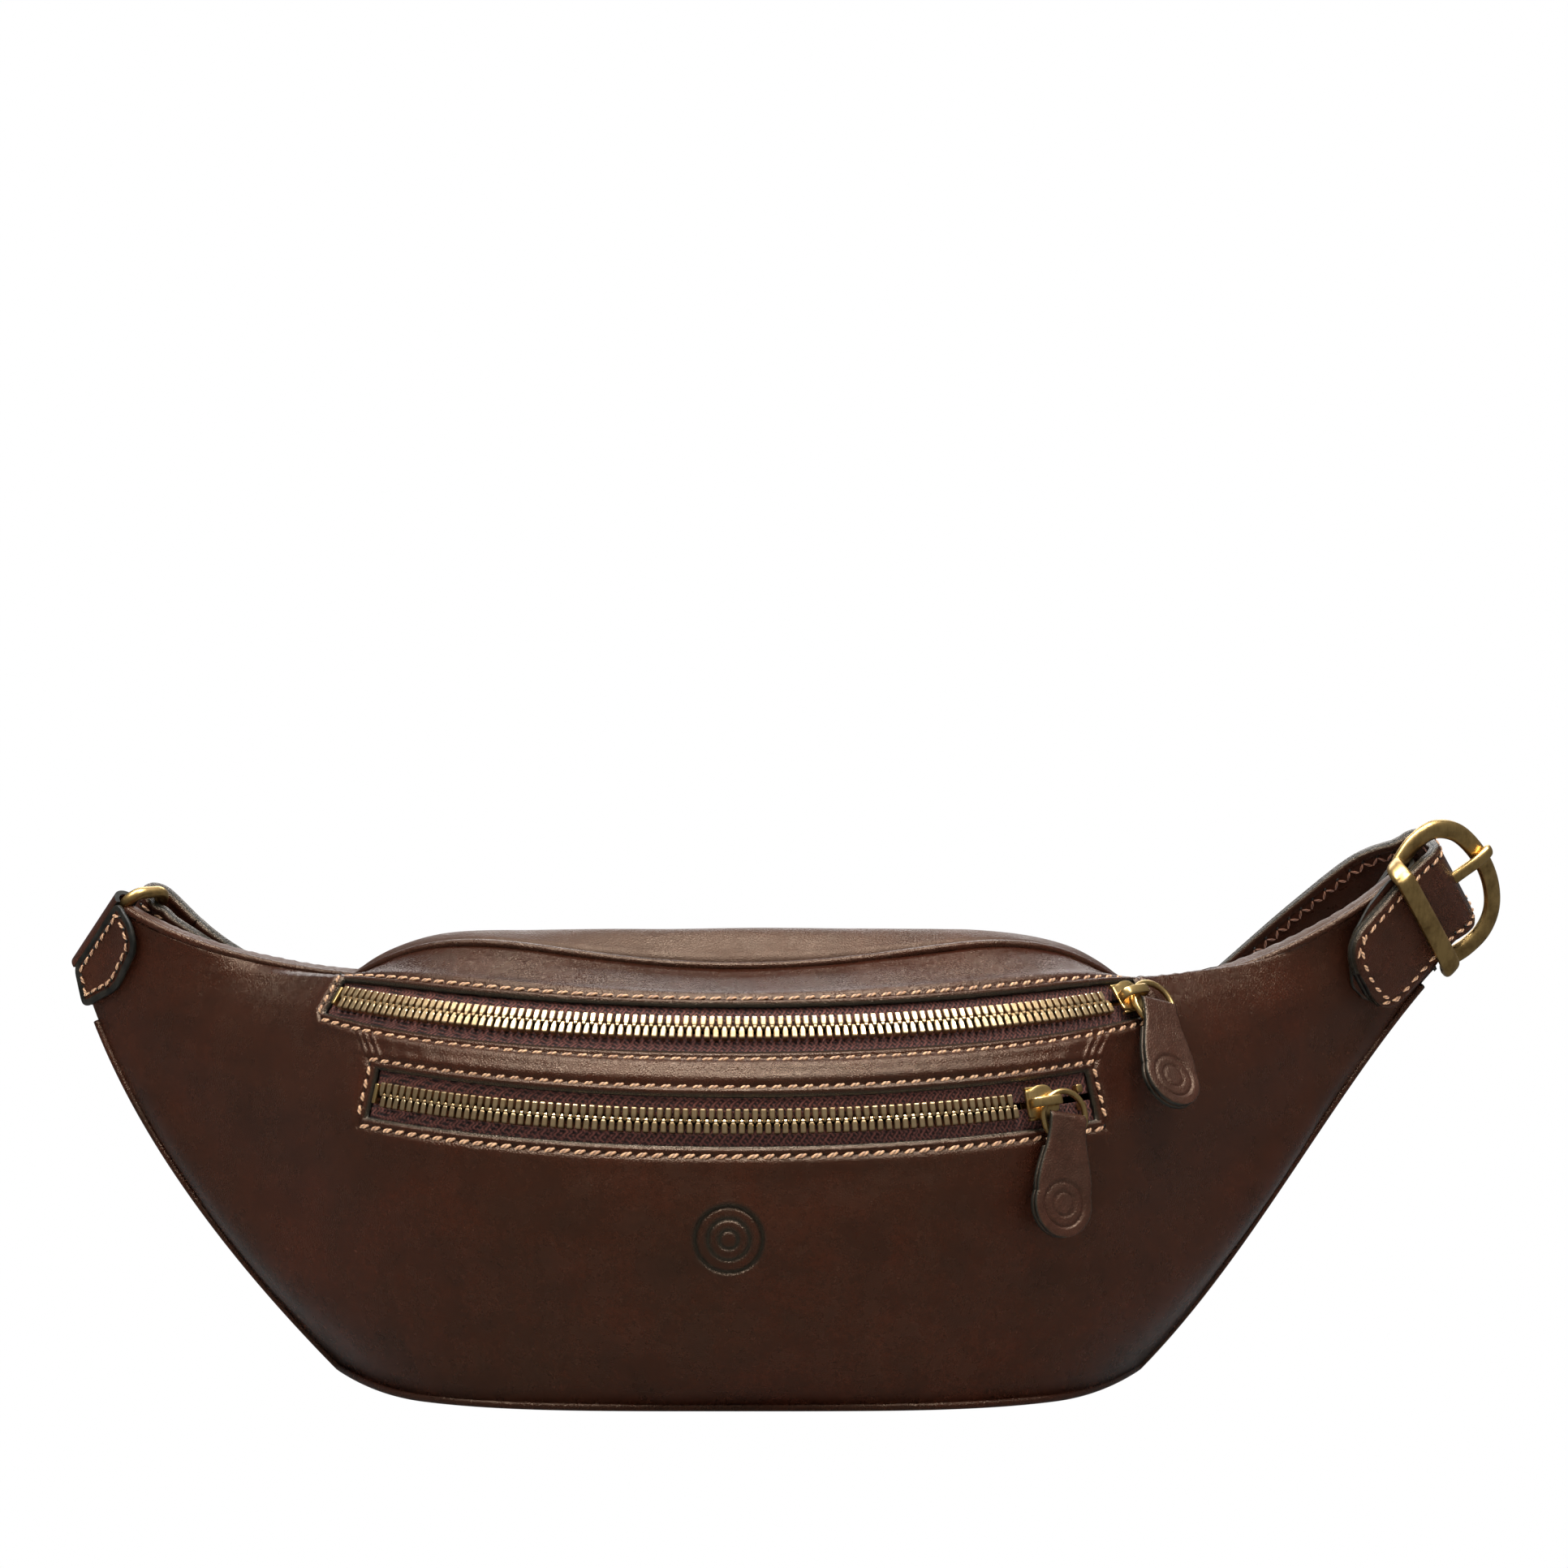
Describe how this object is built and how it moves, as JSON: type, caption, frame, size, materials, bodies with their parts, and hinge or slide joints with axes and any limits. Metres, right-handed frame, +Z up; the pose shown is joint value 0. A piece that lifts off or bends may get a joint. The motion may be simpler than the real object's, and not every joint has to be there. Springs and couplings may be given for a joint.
{
  "type": "waist pack",
  "caption": "Arched leather waist pack with two front zips, ring pulls and an adjustable strap that joins it with a metal buckle and a metal loop.",
  "frame": {"origin": "centre of the flat base, on the surface that the bag stands on", "axes": "+Z up, the front with the zips faces -Y, +X to the right seen from the front"},
  "size_m": [0.4067, 0.1759, 0.1548],
  "materials": {
    "hide": "glossy fine-grained dark brown leather",
    "strap": "smooth dark brown strap leather",
    "edge": "painted dark edge",
    "cloth": "woven lining cloth",
    "tape": "woven burgundy brown zip tape",
    "brass": "brushed antique brass"
  },
  "bodies": {
    "bag": {"front_panel": "hide", "back_panel": "hide", "base_gusset": "hide", "top_piping": "edge", "bottom_welt": "edge", "main_lining": "cloth", "pocket_lining": "cloth", "main_tape_upper": "tape", "main_tape_lower": "tape", "main_teeth_upper": "brass", "main_teeth_lower": "brass", "main_zip_stop": "brass", "pocket_tape_upper": "tape", "pocket_tape_lower": "tape", "pocket_teeth_upper": "brass", "pocket_teeth_lower": "brass", "pocket_zip_stops": "brass", "ring_tab": "hide", "buckle_tab": "hide", "strap_outer": "strap", "strap_lining": "strap"},
    "main_slider": {"main_slider": "brass"},
    "main_ring": {"main_slider_ring": "brass"},
    "main_pull": {"main_pull": "hide"},
    "pocket_slider": {"pocket_slider": "brass"},
    "pocket_ring": {"pocket_slider_ring": "brass"},
    "pocket_pull": {"pocket_pull": "hide"},
    "strap_ring": {"strap_ring": "brass"},
    "buckle_frame": {"buckle_frame": "brass"},
    "buckle_prong": {"buckle_prong": "brass"}
  },
  "joints": [
    {"name": "main_zip_slide", "type": "hinge", "parent": "bag", "child": "main_slider", "pos_m": [0, 0.12218, 0.1231], "axis": [0, -0.1305, 0.9914], "range_deg": [-86.5, 0], "deforming": ["main_teeth_upper", "main_teeth_lower", "main_tape_upper", "main_tape_lower"]},
    {"name": "pocket_zip_slide", "type": "hinge", "parent": "bag", "child": "pocket_slider", "pos_m": [0, 0.1095, 0.10043], "axis": [0, -0.1392, 0.9903], "range_deg": [-68.5, 0], "deforming": ["pocket_teeth_upper", "pocket_teeth_lower", "pocket_tape_upper", "pocket_tape_lower"]},
    {"name": "main_ring_lift", "type": "hinge", "parent": "main_slider", "child": "main_ring", "pos_m": [0.10777, 0.00972, 0.11026], "axis": [-0.1838, -0.7038, -0.6862], "range_deg": [0, 45]},
    {"name": "main_pull_lift", "type": "hinge", "parent": "main_ring", "child": "main_pull", "pos_m": [0.11399, 0.0079, 0.10142], "axis": [-0.8259, -0.516, 0.2273], "range_deg": [0, 4]},
    {"name": "pocket_ring_lift", "type": "hinge", "parent": "pocket_slider", "child": "pocket_ring", "pos_m": [0.08217, -0.02291, 0.08286], "axis": [-0.4662, -0.429, -0.7737], "range_deg": [0, 45]},
    {"name": "pocket_pull_lift", "type": "hinge", "parent": "pocket_ring", "child": "pocket_pull", "pos_m": [0.08655, -0.02239, 0.07235], "axis": [-0.8619, -0.4758, 0.1756], "range_deg": [0, 4]},
    {"name": "strap_ring_swing", "type": "hinge", "parent": "bag", "child": "strap_ring", "pos_m": [-0.1789, 0.0701, 0.1235], "axis": [0.5085, -0.5075, 0.6957], "range_deg": [-3, 3]},
    {"name": "buckle_rock", "type": "hinge", "parent": "bag", "child": "buckle_frame", "pos_m": [0.19481, 0.07791, 0.12945], "axis": [0.4575, 0.4885, -0.743], "range_deg": [-2, 2]},
    {"name": "prong_lift", "type": "hinge", "parent": "buckle_frame", "child": "buckle_prong", "pos_m": [0.19344, 0.07645, 0.13168], "axis": [0.4575, 0.4885, -0.743], "range_deg": [0, 3]}
  ]
}
